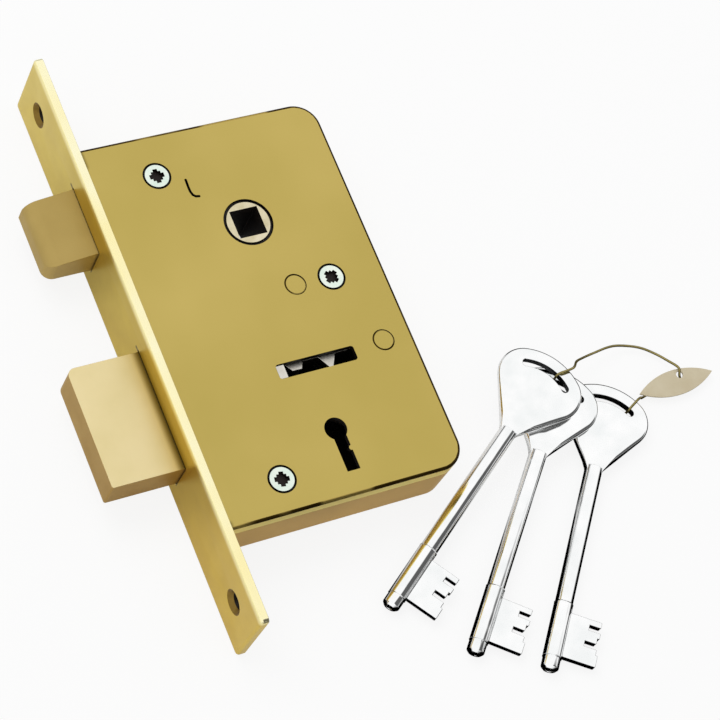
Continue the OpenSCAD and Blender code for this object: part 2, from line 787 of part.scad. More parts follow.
// Leaf spring: it stands in a slot in the lever and bears on the stop post
module leaf(half_t, extra) {
    to_post = post_at - leaf_root;
    bear = pivot_r + leaf_t / 2 + 0.2;
    angle = atan2(to_post.y, to_post.x) + asin(bear / norm(to_post));
    l = sqrt(pow(norm(to_post), 2) - pow(bear, 2));
    translate(leaf_root) rotate(angle) translate([-leaf_sunk, -half_t])
        square([leaf_sunk + l + extra, 2 * half_t]);
}

module lever_spring(i) {
    color("#B98F4A")
    translate([0, 0, lever_z + i * lever_pitch + (lever_t - leaf_w) / 2])
        linear_extrude(leaf_w) leaf(leaf_t / 2, leaf_spare);
}

// Key: tip at the origin, shaft along X and bit towards -Y
module bow_outline() {
    cheek = [bow_x + sqrt(pow(bow_top_r - bow_cheek_r, 2) - pow(bow_w / 2 - bow_cheek_r, 2)),
        bow_w / 2 - bow_cheek_r];
    neck = [shaft_l, shaft_r + 0.3];
    to = cheek - neck;
    a = atan2(to.y, to.x) + asin(bow_cheek_r / norm(to));
    touch = neck + sqrt(to * to - pow(bow_cheek_r, 2)) * [cos(a), sin(a)];
    wedge = atan2(cheek.y, cheek.x - bow_x);
    polygon([
        [shaft_l - 3, shaft_r / 2], neck, touch, cheek,
        [cheek.x, -cheek.y], [touch.x, -touch.y], [neck.x, -neck.y], [shaft_l - 3, -shaft_r / 2]
    ]);
    for (side = [-1, 1]) translate([cheek.x, side * cheek.y]) circle(bow_cheek_r);
    intersection() {
        translate([bow_x, 0]) circle(bow_top_r, $fn = 96);
        translate([bow_x, 0]) polygon([
            [0, 0], 2 * bow_top_r * [cos(wedge), -sin(wedge)], 2 * bow_top_r * [cos(wedge), sin(wedge)]
        ]);
    }
}

module bow_slot() {
    h = bow_slot_half;
    translate([bow_x, 0]) {
        intersection() {
            difference() {
                circle(bow_slot_r + bow_slot_w / 2, $fn = 96);
                circle(bow_slot_r - bow_slot_w / 2, $fn = 96);
            }
            polygon([[0, 0], 2 * bow_slot_r * [cos(h), -sin(h)], 2 * bow_slot_r * [cos(h), sin(h)]]);
        }
        for (a = [-h, h]) rotate(a) translate([bow_slot_r, 0]) circle(bow_slot_w / 2);
    }
}

module bit_outline() {
    x = bit_x + bit_bolt_w;
    polygon(concat(
        [[bit_x, 0], [bit_x, -bit_reach], [x, -bit_reach]],
        [for (i = [0:lever_count - 1], e = [0, 1]) [x + (i + e) * lever_pitch, -key_step_r(i)]],
        [[x + lever_count * lever_pitch, 0]]
    ));
}

module key(k) {
    tip_r = 0.8;
    drill_r = 1;
    drill_l = 5;
    color("#E6E8EA")
    on_table() translate([key_tips[k].x, key_tips[k].y, shaft_r])
        rotate([0, 0, key_headings[k]]) rotate([0, -key_tilts[k], 0])
        difference() {
            union() {
                translate([tip_r, 0, 0]) rotate([0, 90, 0]) cylinder(h = shaft_l - tip_r, r = shaft_r);
                rotate([0, 90, 0]) cylinder(h = tip_r, r1 = shaft_r - tip_r, r2 = shaft_r);
                translate([bit_x - 0.8, 0, 0]) rotate([0, 90, 0])
                    cylinder(h = bit_bolt_w + lever_count * lever_pitch + 3, r = collar_r);
                translate([0, 0, -bit_t / 2]) linear_extrude(bit_t) bit_outline();
                translate([0, 0, -bow_t / 2]) linear_extrude(bow_t) bow_outline();
            }
            translate([0, 0, -bow_t]) linear_extrude(2 * bow_t) bow_slot();
            translate([-cut, 0, 0]) rotate([0, 90, 0]) cylinder(h = drill_l + cut, r = drill_r);
        }
}

// Ring: one cut loop of wire through the bows' slots and the tag's hole
module key_ring() {
    over_1 = key_point(0, bow_point(bow_slot_r + 0.9, ring_a, ring_lift));
    in_1 = key_point(0, bow_point(bow_slot_r, ring_a));
    rim_1 = key_point(0, bow_point(rim_r, ring_a - rim_back, ring_lift));
    in_3 = key_point(2, bow_point(bow_slot_r, slot_a));
    over_3 = key_point(2, bow_point(bow_slot_r + 0.9, slot_a, ring_lift));
    rim_3 = key_point(2, bow_point(rim_r - 0.8, slot_a, ring_lift));
    low = ring_r + 0.1;
    hole = tag_hole;
    color("#A79A63") on_table() wire(spline(concat([
        [hole.x - 6, hole.y - 2.6, low + 0.2], [hole.x - 2.6, hole.y - 2, low + 0.1],
        [hole.x, hole.y - 1.1, low + 0.5],
        [hole.x, hole.y, tag_z + tag_t / 2],
        [hole.x + 0.1, hole.y + 1.2, tag_z + tag_t + 0.9],
        [hole.x - 0.2, hole.y + 2.4, tag_z + tag_t + 0.8]
    ], ring_way, [
        rim_1, over_1, in_1,
        [in_1.x, in_1.y, 7.6], [in_1.x, in_1.y, 5.2], [in_1.x + 0.8, in_1.y - 0.5, 1.8],
        [in_1.x + 3.4, in_1.y - 2.4, low], [(in_1.x + in_3.x) / 2 + 1, (in_1.y + in_3.y) / 2, low],
        [in_3.x - 1.6, in_3.y + 0.6, low + 0.2], in_3, over_3, rim_3,
        [rim_3.x + 2.2, rim_3.y + 0.9, 3.2], [rim_3.x + 3.6, rim_3.y + 1.4, low + 0.4],
        [rim_3.x + 6.5, rim_3.y + 2, low], [hole.x - 6.8, hole.y - 2.7, low + 0.2]
    ])), ring_r, [0, 0, 1]);
}

// Tag: a thin leaf with pointed ends, and the hole that the ring goes through
module key_tag() {
    arc_r = (pow(tag_l / 2, 2) + pow(tag_w / 2, 2)) / tag_w;
    color("#C8B89A") on_table() translate([0, 0, tag_z]) linear_extrude(tag_t) difference() {
        translate(tag_left) rotate(tag_turn) intersection() {
            translate([tag_l / 2, arc_r - tag_w / 2]) circle(arc_r, $fn = 96);
            translate([tag_l / 2, tag_w / 2 - arc_r]) circle(arc_r, $fn = 96);
        }
        translate(tag_hole) circle(tag_hole_r);
    }
}

forend();
case_body();
case_cap();
cap_pillars();
cap_screws();
lever_pivot();
spring_post();
latch_bolt();
latch_tail();
latch_rod();
latch_spring();
follower();
deadbolt_head();
deadbolt_tail();
deadbolt_rivets();
deadbolt_stump();
lever(0);  // lever_1
lever(1);  // lever_2
lever(2);  // lever_3
lever(3);  // lever_4
lever(4);  // lever_5
lever(5);  // lever_6
lever_spring(0);  // lever_spring_1
lever_spring(1);  // lever_spring_2
lever_spring(2);  // lever_spring_3
lever_spring(3);  // lever_spring_4
lever_spring(4);  // lever_spring_5
lever_spring(5);  // lever_spring_6
key(0);  // key_1
key(1);  // key_2
key(2);  // key_3
key_ring();
key_tag();
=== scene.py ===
"""Mortice sash lock and its ring of keys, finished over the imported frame."""
import json
import math

import bmesh
import bpy
from mathutils import Matrix, Vector


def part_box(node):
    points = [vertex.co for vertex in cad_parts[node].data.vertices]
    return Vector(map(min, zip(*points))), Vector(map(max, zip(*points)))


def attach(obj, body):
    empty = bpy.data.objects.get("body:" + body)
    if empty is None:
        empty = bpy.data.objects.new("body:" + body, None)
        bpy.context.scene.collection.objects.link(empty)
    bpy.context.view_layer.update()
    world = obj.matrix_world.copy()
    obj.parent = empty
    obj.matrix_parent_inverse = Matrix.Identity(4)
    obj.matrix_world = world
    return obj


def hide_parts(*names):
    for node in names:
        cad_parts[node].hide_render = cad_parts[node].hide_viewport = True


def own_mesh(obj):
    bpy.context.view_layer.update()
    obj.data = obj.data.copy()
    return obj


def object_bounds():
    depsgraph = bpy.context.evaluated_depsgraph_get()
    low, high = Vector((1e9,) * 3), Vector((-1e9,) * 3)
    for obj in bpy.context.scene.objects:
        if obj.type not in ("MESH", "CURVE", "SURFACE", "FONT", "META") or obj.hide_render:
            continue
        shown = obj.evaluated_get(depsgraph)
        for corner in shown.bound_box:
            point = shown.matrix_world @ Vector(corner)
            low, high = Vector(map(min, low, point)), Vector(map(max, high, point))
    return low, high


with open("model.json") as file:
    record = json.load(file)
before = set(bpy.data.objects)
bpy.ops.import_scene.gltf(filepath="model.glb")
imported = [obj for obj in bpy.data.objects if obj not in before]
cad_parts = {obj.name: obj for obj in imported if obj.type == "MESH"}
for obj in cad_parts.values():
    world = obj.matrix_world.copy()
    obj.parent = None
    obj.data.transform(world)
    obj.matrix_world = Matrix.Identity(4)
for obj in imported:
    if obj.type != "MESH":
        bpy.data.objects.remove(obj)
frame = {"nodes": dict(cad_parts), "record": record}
cad_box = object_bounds()
nodes = frame["nodes"]
behaviour = frame["record"]["behaviour"]
body_of_node = {n: b for b, ns in behaviour["bodies"].items() for n in ns}
joints = {j["name"]: j for j in behaviour["joints"]}

# Lengths here are in millimetres, and times MM they are the frame's metres.
MM = 0.001
tray_low, tray_high = (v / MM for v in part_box("case_body"))
cap_low, cap_high = (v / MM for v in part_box("case_cap"))
plate_low, plate_high = (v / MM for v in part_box("forend"))
bolt_low, bolt_high = (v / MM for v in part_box("deadbolt_head"))
latch_low, latch_high = (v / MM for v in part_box("latch_bolt"))
FAR = 99.0              # beyond the lock on every side
LEVERS = 6
CORNER = 7.0            # radius of the case's corners
WALL = 0.95             # what lies deeper than this in the case's outline is inside it
FIXING_Y = 71.5         # the screw holes' distance above and below the middle of the forend
COUNTERSINK_R = 3.7     # just over the radius of their countersinks
OUTLINE = 0.1           # the middle of an edge on the forend's outline is this near to it
FOREND_CORNER = 2.6     # and round its corners this near to both sides
BOW_TOP_R = 17.0        # radius of the top of a key's bow
SLOT_REACH = 14.2       # from that radius' centre to just past the slot in the bow
SHAFT_REACH = 60.4      # from a key's tip to just past its shaft
SEAM_BESIDE = 0.37      # a key's seam runs this far beside its axis, clear of the points on it
JUST_BROKEN = 0.2       # share of a piece's rounding on the edges that are only broken
SIDEWAYS = 0.7          # a face whose normal has less than this along Z looks sideways

# How a node's mesh is made ready for its rounding.
WELD = 0.002            # points nearer than this are one
SEAM_WELD = 0.02        # and this where a seam has cut the mesh
ON_SEAM = 0.03          # an edge this near to the seam is on it
LARGE_FACE = 25.0       # a level face of more square millimetres stays quite flat
LEVEL = 0.9999          # a face is level where one part of its normal is more
MERGED_TURN = math.radians(0.6)     # faces that turn by less are merged
FLAT_TURN = 0.01        # and an edge that turns by less, in radians, is flat


# ---------------------------------------------------------------- how a finish is made
def colour(code):
    """sRGB hex to the linear colour that a shader wants."""
    parts = [int(code[i:i + 2], 16) / 255 for i in (0, 2, 4)]
    linear = (c / 12.92 if c <= 0.04045 else ((c + 0.055) / 1.055) ** 2.4 for c in parts)
    return (*linear, 1.0)


def pattern_scale(size_mm):
    """Scale at which an irregular pattern has features of about size_mm."""
    return 1 / (size_mm * MM)


def add(tree, kind, settings=None, stops=(), **inputs):
    """Adds a node. An input is named with _ for a space, or i and its number.

    stops are a colour ramp's places and hex colours.
    """
    node = tree.nodes.new(kind)
    for name, value in (settings or {}).items():
        setattr(node, name, value)
    if stops:
        bar = node.color_ramp
        while len(bar.elements) < len(stops):
            bar.elements.new(0.5)
        for element, (place, code) in zip(bar.elements, stops):
            element.position = place
            element.color = colour(code)
    for name, value in inputs.items():
        numbered = name[0] == "i" and name[1:].isdigit()
        socket = node.inputs[int(name[1:]) if numbered else name.replace("_", " ")]
        if isinstance(value, bpy.types.NodeSocket):
            tree.links.new(value, socket)
        else:
            socket.default_value = value
    return node


class Finish:
    """A node material: its tree, its shader and the piece's own coordinates in metres."""

    def __init__(self, name, metallic):
        self.material = bpy.data.materials.new(name)
        self.material.use_nodes = True
        self.tree = self.material.node_tree
        self.shader = self.tree.nodes["Principled BSDF"]
        self.shader.inputs["Metallic"].default_value = metallic
        self.place = add(self.tree, "ShaderNodeTexCoord").outputs["Object"]

    def drift(self, tone, second, size_mm):
        """Colour that wanders between two close tones, as plating and tarnish do."""
        cloud = add(self.tree, "ShaderNodeTexNoise", Vector=self.place, Scale=pattern_scale(size_mm),
                    Detail=3.0)
        wandering = add(self.tree, "ShaderNodeValToRGB", stops=((0.32, tone), (0.68, second)),
                        Fac=cloud.outputs["Fac"])
        return wandering.outputs["Color"]

    def stain(self, tone, code, low, high, soft_mm):
        """The tone, stained with a hex colour in the box from low to high and for soft_mm round it."""
        low, high = Vector(low) * MM, Vector(high) * MM
        middle, half, none = (low + high) / 2, (high - low) / 2, (0, 0, 0)
        off = self.place
        for operation, other in (("SUBTRACT", middle), ("ABSOLUTE", none), ("SUBTRACT", half),
                                 ("MAXIMUM", none)):
            step = add(self.tree, "ShaderNodeVectorMath", {"operation": operation}, i0=off, i1=other)
            off = step.outputs["Vector"]
        gap = add(self.tree, "ShaderNodeVectorMath", {"operation": "LENGTH"}, i0=off)
        fade = add(self.tree, "ShaderNodeMapRange", {"interpolation_type": "SMOOTHSTEP"},
                   Value=gap.outputs["Value"], i1=0.0, i2=soft_mm * MM, i3=1.0, i4=0.0)
        stained = add(self.tree, "ShaderNodeMix", {"data_type": "RGBA"}, i0=fade.outputs["Result"],
                      i6=tone, i7=colour(code))
        return stained.outputs[2]

    def texture(self, rough, grain_mm, spread=0.05, stretch=None, bump=0.05, wave_mm=0, wave=0.0):
        """Grain in the gloss and the surface, over slow waves left by pressing or polishing.

        Most real grain is finer than 0.1 mm. It is drawn at 0.2 to 0.8 mm, so that it shows.
        """
        place = self.place
        if stretch:
            place = add(self.tree, "ShaderNodeMapping", Vector=place, Scale=stretch).outputs["Vector"]
        grain = add(self.tree, "ShaderNodeTexNoise", Vector=place, Scale=pattern_scale(grain_mm),
                    Detail=4.0).outputs["Fac"]
        gloss = add(self.tree, "ShaderNodeMapRange", Value=grain, i3=rough - spread, i4=rough + spread)
        self.tree.links.new(gloss.outputs["Result"], self.shader.inputs["Roughness"])
        lift = add(self.tree, "ShaderNodeBump", Height=grain, Strength=bump, Distance=0.02 * MM)
        if wave_mm:
            swell = add(self.tree, "ShaderNodeTexNoise", Vector=self.place,
                        Scale=pattern_scale(wave_mm), Detail=1.0)
            under = add(self.tree, "ShaderNodeBump", Height=swell.outputs["Fac"], Strength=1.0,
                        Distance=wave * MM)
            self.tree.links.new(under.outputs["Normal"], lift.inputs["Normal"])
        self.tree.links.new(lift.outputs["Normal"], self.shader.inputs["Normal"])

    def paint(self, tone):
        self.tree.links.new(tone, self.shader.inputs["Base Color"])
        return self.material


def metal(name, tone, second, size_mm, metallic=1.0, **texture):
    finish = Finish(name, metallic)
    finish.texture(**texture)
    return finish.paint(finish.drift(tone, second, size_mm))


# ---------------------------------------------------------------- the finishes
# The cap's turned-down rim gets a paler copy of the face's brass: painted light.
rim_painted_light = metal("cap_rim_painted_light", "FFEE86", "F7E076", 30, rough=0.36, spread=0.04, grain_mm=0.5,
                  stretch=(1, 1, 4))
# The tray is the same plating on a deeper pressing, a little redder and duller.
brassed_tray = metal("brassed_pressed_tray", "E2BA5E", "D0A84F", 26, rough=0.40, spread=0.04,
                     grain_mm=0.6, stretch=(1, 1, 3), bump=0.06)
# Inside the case, in every hole and recess and on cut edges the steel is nearly black: painted shade.
painted_shade_steel = metal("painted_shade_black_steel", "150E0A", "1C140D", 8, metallic=0.4, rough=0.55, grain_mm=0.8)
# The bright line along the forend's rounded cut edge is a painted highlight in near-white brass.
painted_highlight_edge = metal("brass_edge_painted_highlight", "FFFAD4", "FFF3B8", 20, rough=0.24, spread=0.03, grain_mm=0.4,
                    stretch=(1, 0.3, 1), bump=0.03)
# The countersinks are brown: painted shade in the recess.
countersink_shade_brass = metal("countersink_painted_shade", "8C7238", "7A612C", 3, rough=0.45, grain_mm=0.3)
# The latch bolt is cast brass, tumbled to a satin that hides its curve.
satin_latch = metal("satin_cast_brass", "BFA665", "B69D5D", 14, rough=0.50, grain_mm=0.3, bump=0.08)
# The deadbolt's ends and sides get a duller, redder brass: painted shade.
bolt_side_shade = metal("bolt_brass_painted_side_shade", "BB9B59", "AC8945", 12, rough=0.50, grain_mm=0.3, bump=0.10)
# The follower is cast zinc, thinly brassed, which leaves it an ivory tone.
cast_zinc = metal("brassed_cast_zinc", "E6DCBE", "D2C7A2", 3, rough=0.34, grain_mm=0.3, bump=0.08)
# The screws are bright zinc plated, with the plating's pale green cast.
bright_zinc = metal("bright_zinc_plate", "F0F7EC", "DDEFE2", 2.5, rough=0.24, spread=0.04,
                    grain_mm=0.2, bump=0.06)
# The walls of the slots in the keys' bows are black: painted shade.
slot_shade_black = metal("black_in_key_slots", "0E0E0F", "1A1A1B", 4, metallic=0.4, rough=0.5, grain_mm=0.5)
# The turned rod and the stamped plates inside are mild steel, grey with a rolling grain.
mild_steel = metal("rolled_mild_steel", "6F6C66", "5E5B55", 12, rough=0.40, spread=0.06, grain_mm=0.3,
                   stretch=(1, 5, 5), bump=0.06)
# The latch's coil is drawn wire, brighter than the plates.
spring_steel = metal("drawn_spring_steel", "8F8E88", "7F7D77", 6, rough=0.30, grain_mm=0.3)
# The levers' leaf springs are rolled bronze strip, redder than the brass.
bronze_strip = metal("phosphor_bronze_strip", "B98A4C", "A97B3F", 6, rough=0.34, grain_mm=0.3)
# The ring is thin lacquered brass wire, tarnished to olive.
olive_wire = metal("lacquered_brass_wire", "A99A62", "8E8350", 5, metallic=0.8, rough=0.36,
                   grain_mm=0.6)


def sheet_brass():
    """Rolled, brassed and lacquered sheet: even and golden, with a faint rolling grain up the case.

    Painted shadow darkens it at the ends of the joint where the case meets the forend.
    """
    finish = Finish("brassed_sheet_steel", 1.0)
    finish.texture(rough=0.30, spread=0.03, grain_mm=0.5, stretch=(6, 1, 6), bump=0.03)
    tone = finish.drift("C8B265", "BEA95B", 45)
    # Painted shadow along the joint with the forend, at its top and bottom ends.
    for y, tall in ((cap_high.y - 5, 5), (cap_low.y, 1.5)):
        low, high = (plate_high.x, y, -FAR), (plate_high.x + 0.6, y + tall, FAR)
        tone = finish.stain(tone, "3E3410", low, high, soft_mm=1.8)
    return finish.paint(tone)


def bolt_brass():
    """Extruded brass with milled broad faces: pale and satin, with painted shade browning it beside the
    forend.
    """
    finish = Finish("milled_bolt_brass", 1.0)
    finish.texture(rough=0.46, grain_mm=0.35, stretch=(0.5, 3, 3), bump=0.06)
    tone = finish.drift("F2E1AE", "E9D8A0", 15)
    # Painted shade beside the forend.
    return finish.paint(finish.stain(tone, "8F7C42", (-0.3, -FAR, -FAR), (3, FAR, FAR), soft_mm=2.2))


def plate_brass():
    """Drawn brass plate, buffed along its length: paler at the top end, deepest between the bolts, where
    the tone is painted shade.

    Its front edge carries a painted highlight of pale brass, and painted shade darkens it round the
    bolts.
    """
    finish = Finish("buffed_brass_plate", 1.0)
    finish.texture(rough=0.36, spread=0.04, grain_mm=0.4, stretch=(5, 0.35, 5))
    t = finish.tree
    # The tone along the plate's length; between the bolts it is painted shade.
    up = add(t, "ShaderNodeSeparateXYZ", Vector=finish.place).outputs["Y"]
    along = add(t, "ShaderNodeMapRange", Value=up, i1=plate_low.y * MM, i2=plate_high.y * MM)
    tones = add(t, "ShaderNodeValToRGB", Fac=along.outputs["Result"],
                stops=((0.02, "DFC25B"), (0.2, "D3B444"), (0.52, "D2B849"), (0.8, "D8C25B"),
                       (0.96, "E2CC6B")))
    cloud = add(t, "ShaderNodeTexNoise", Vector=finish.place, Scale=pattern_scale(9), Detail=3.0)
    shade = add(t, "ShaderNodeValToRGB", Fac=cloud.outputs["Fac"],
                stops=((0.3, "F4F1EA"), (0.7, "FFFFFF")))
    tone = add(t, "ShaderNodeMix", {"data_type": "RGBA", "blend_type": "MULTIPLY"}, i0=1.0,
               i6=tones.outputs["Color"], i7=shade.outputs["Color"]).outputs[2]
    # Painted shade in front of and below each bolt's opening.
    for low, high in ((latch_low, latch_high), (bolt_low, bolt_high)):
        in_front = (-9, low.y, high.z), (9, high.y + 1.5, high.z + 0.3)
        below = (-9, low.y - 0.3, low.z), (9, low.y, high.z)
        for box in (in_front, below):
            tone = finish.stain(tone, "66582A", *box, soft_mm=0.5)
    # Painted highlight along the front edge.
    front_edge = (-9, -FAR, plate_high.z - 0.4), (9, FAR, plate_high.z + 1)
    return finish.paint(finish.stain(tone, "FFF3B4", *front_edge, soft_mm=2.2))


def edge_line():
    """The cap's rounded edge: a painted dark line of shade and dark reflection, broken in places."""
    finish = Finish("shaded_cap_edge", 1.0)
    finish.texture(rough=0.34, grain_mm=0.5)
    t = finish.tree
    line_breaks = add(t, "ShaderNodeTexNoise", Vector=finish.place, Scale=pattern_scale(16),
                 Detail=2.0).outputs["Fac"]
    # Round two points the painted line fades out.
    for break_at, reach in (((36, tray_low.y, cap_high.z), 9), ((48, tray_high.y, cap_high.z), 12)):
        gap = add(t, "ShaderNodeVectorMath", {"operation": "DISTANCE"}, i0=finish.place,
                  i1=Vector(break_at) * MM)
        near = add(t, "ShaderNodeMapRange", Value=gap.outputs["Value"], i1=reach * 0.4 * MM,
                   i2=reach * MM, i3=0.5, i4=0.0)
        line_breaks = add(t, "ShaderNodeMath", {"operation": "ADD"}, i0=line_breaks,
                     i1=near.outputs["Result"]).outputs["Value"]
    # The painted dark line, with its breaks.
    line = add(t, "ShaderNodeValToRGB", Fac=line_breaks,
               stops=((0.0, "1E1406"), (0.4, "33240C"), (0.58, "4E3D18"), (0.72, "B59C54")))
    return finish.paint(line.outputs["Color"])


def pin_line(pin, open_way):
    """The hammered edge of a riveted pin: a brown line of painted shade, open on the side that the given
    way points to.
    """
    finish = Finish(f"shaded_edge_of_{pin}", 1.0)
    finish.texture(rough=0.4, grain_mm=0.5)
    t = finish.tree
    low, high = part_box(pin)
    reach = (high.x - low.x) / 2
    off = add(t, "ShaderNodeVectorMath", {"operation": "SUBTRACT"}, i0=finish.place, i1=(low + high) / 2)
    side = add(t, "ShaderNodeVectorMath", {"operation": "DOT_PRODUCT"}, i0=off.outputs["Vector"], i1=open_way)
    # The painted shade line fades out towards the open side.
    open_side = add(t, "ShaderNodeMapRange", Value=side.outputs["Value"], i1=0.1 * reach, i2=0.7 * reach)
    line = add(t, "ShaderNodeValToRGB", Fac=open_side.outputs["Result"],
               stops=((0.0, "4A3A16"), (1.0, "B8A25A")))
    return finish.paint(line.outputs["Color"])


def lever_metal():
    """Stamped nickel silver: tumbled bright on top of the pack, and darker further down with painted
    shade.
    """
    finish = Finish("tumbled_nickel_silver", 1.0)
    finish.texture(rough=0.36, grain_mm=0.25)
    t = finish.tree
    height = add(t, "ShaderNodeSeparateXYZ", Vector=finish.place).outputs["Z"]
    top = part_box(f"lever_{LEVERS}")[1].z
    # Painted shade darkens the levers below the top of the pack.
    out_of_shade = add(t, "ShaderNodeMapRange", Value=height, i1=top - 1.2 * MM, i2=top - 0.4 * MM)
    tone = add(t, "ShaderNodeMix", {"data_type": "RGBA"}, i0=out_of_shade.outputs["Result"],
               i6=colour("1A1815"), i7=finish.drift("E9E5DC", "D6D1C6", 4))
    return finish.paint(tone.outputs[2])


def nickel():
    """Polished nickel plate: mirror bright, slightly wavy from the mop, with a trace of wiping haze."""
    finish = Finish("polished_nickel_plate", 1.0)
    finish.texture(rough=0.09, spread=0.03, grain_mm=2.0, bump=0.0, wave_mm=7, wave=0.12)
    return finish.paint(finish.drift("FEFEFE", "F3F5F5", 6))


def card():
    """Coated tag board: matt beige, with fibres about 0.3 mm apart."""
    finish = Finish("coated_tag_board", 0.0)
    t = finish.tree
    fibre = add(t, "ShaderNodeTexNoise", Vector=finish.place, Scale=pattern_scale(0.3), Detail=3.0)
    lift = add(t, "ShaderNodeBump", Height=fibre.outputs["Fac"], Strength=0.25, Distance=0.03 * MM)
    t.links.new(lift.outputs["Normal"], finish.shader.inputs["Normal"])
    finish.shader.inputs["Roughness"].default_value = 0.7
    finish.shader.inputs["Specular IOR Level"].default_value = 0.3
    return finish.paint(finish.drift("D3C8AD", "C9BC9E", 7))


brassed_sheet = sheet_brass()
brass_plate = plate_brass()
pale_bolt = bolt_brass()
shaded_edge = edge_line()
bright_lever = lever_metal()
nickel_plate = nickel()
tag_card = card()


# ---------------------------------------------------------------- pieces
def dressed(node, edge_mm, finishes, pick=None, sharp=30, segments=3, edge_finish=None,
            weight=None, seam=None, harden=True):
    """The node again, with the edges that turn by more than sharp degrees broken by edge_mm.

    pick(centre, normal) gives a face's finish, and weight(middle) an edge's share of edge_mm. Both
    take millimetres. The plane seam (point, normal) parts large flat faces. harden keeps flat faces
    flat up to the rounding, which has its neighbours' finish unless edge_finish is given.
    """
    mesh = nodes[node].data.copy()
    mesh.name = node + "_finished"
    mesh.materials.clear()
    for finish in finishes:
        mesh.materials.append(finish)
    piece = bpy.data.objects.new(node + "_finished", mesh)
    bpy.context.scene.collection.objects.link(piece)
    bm = bmesh.new()
    bm.from_mesh(mesh)
    bmesh.ops.remove_doubles(bm, verts=bm.verts, dist=WELD * MM)
    if seam:
        point, across = seam
        bmesh.ops.bisect_plane(bm, geom=bm.verts[:] + bm.edges[:] + bm.faces[:], plane_co=point * MM,
                               plane_no=across)
        bmesh.ops.remove_doubles(bm, verts=bm.verts, dist=SEAM_WELD * MM)
        for edge in bm.edges:
            edge.seam = all(abs((v.co - point * MM).dot(across)) < ON_SEAM * MM for v in edge.verts)
    bmesh.ops.dissolve_limit(bm, angle_limit=MERGED_TURN, verts=bm.verts, edges=bm.edges,
                             delimit={"SEAM"} if seam else set())
    limit = math.radians(sharp)
    for face in bm.faces:
        turns = [edge.calc_face_angle(0) for edge in face.edges]
        level = max(abs(c) for c in face.normal) > LEVEL and face.calc_area() > LARGE_FACE * MM * MM
        face.smooth = not (level or all(a < FLAT_TURN or a > limit for a in turns))
        if pick:
            face.material_index = finishes.index(pick(face.calc_center_median() / MM, face.normal))
        else:
            face.material_index = 0
    if weight:
        share = bm.edges.layers.float.new("bevel_weight_edge")
        for edge in bm.edges:
            if edge.calc_face_angle(0) > limit:
                edge[share] = weight((edge.verts[0].co + edge.verts[1].co) / 2 / MM)
    bm.to_mesh(mesh)
    bm.free()
    mesh.set_sharp_from_angle(angle=limit)
    if edge_mm:
        bevel = piece.modifiers.new("broken_edges", "BEVEL")
        bevel.width = edge_mm * MM
        bevel.segments = segments
        bevel.limit_method = "WEIGHT" if weight else "ANGLE"
        bevel.use_clamp_overlap = not seam
        bevel.angle_limit = limit
        bevel.harden_normals = harden
        bevel.material = finishes.index(edge_finish) if edge_finish else -1
    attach(piece, body_of_node[node])
    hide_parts(node)
    return piece


def depth_in_case(centre):
    """How far a point lies inside the case's outline."""
    x = max(0.0, centre.x - (tray_high.x - CORNER))
    middle = (tray_low.y + tray_high.y) / 2
    y = max(0.0, abs(centre.y - middle) - (tray_high.y - middle - CORNER))
    return CORNER - math.hypot(x, y) if x or y else CORNER


def tray_finish(centre, normal):
    """The tray is plated outside; inside it is nearly black, which is painted shade."""
    at_back = centre.z < tray_low.z + 0.3 and normal.z < -0.9
    at_forend = centre.x < plate_high.x + 0.1
    plated = depth_in_case(centre) < WALL or at_back or at_forend
    return brassed_tray if plated else painted_shade_steel


def cap_finish(centre, normal):
    """The cap's face and rim are plated, the rim with a paler brass that is painted light, the edge
    between them a painted dark line, and its holes and inside nearly black with painted shade.
    """
    on_face = normal.z > 0.999 and centre.z > cap_high.z - 0.05
    if on_face:
        return brassed_sheet
    if depth_in_case(centre) > WALL:
        return painted_shade_steel
    return shaded_edge if normal.z > 0.2 else rim_painted_light


def plate_finish(centre, normal):
    """The holes' walls are nearly black and their countersinks brown, both painted shade, and the upper
    side and top end carry a painted highlight.
    """
    from_hole = math.hypot(abs(centre.y) - FIXING_Y, centre.z)
    in_hole = from_hole < COUNTERSINK_R and abs(normal.x) < 0.95
    if in_hole:
        return painted_shade_steel if abs(normal.x) < 0.2 else countersink_shade_brass
    return painted_highlight_edge if normal.z > 0.5 or normal.y > 0.5 else brass_plate


def plate_rounding(middle):
    """The forend's front edges are buffed round, and those of its holes and back only broken."""
    y, z = plate_high.y - abs(middle.y), plate_high.z - abs(middle.z)
    outline = min(y, z) < OUTLINE or max(y, z) < FOREND_CORNER
    return 1.0 if outline and middle.x < OUTLINE else JUST_BROKEN


def bolt_finish(centre, normal):
    """The deadbolt's broad faces are milled; what looks sideways gets a darker, redder brass of painted
    shade.
    """
    return bolt_side_shade if abs(normal.z) < SIDEWAYS else pale_bolt


def lever_finish(centre, normal):
    """Levers and stump are tumbled bright on their faces; their cut edges are nearly black with painted
    shade.
    """
    return painted_shade_steel if abs(normal.z) < SIDEWAYS else bright_lever


def follower_finish(centre, normal):
    """The follower's end shows its plating; its socket and the rest of it are nearly black with painted
    shade.
    """
    at_end = abs(normal.z) > SIDEWAYS and centre.z > cap_high.z - 0.4
    return cast_zinc if at_end else painted_shade_steel


def screw_finish(centre, normal):
    """The screws' heads are bright up to their recess; the recess and the heads' sides are nearly black
    with painted shade.
    """
    return bright_zinc if normal.z > SIDEWAYS and centre.z > cap_high.z - 0.2 else painted_shade_steel


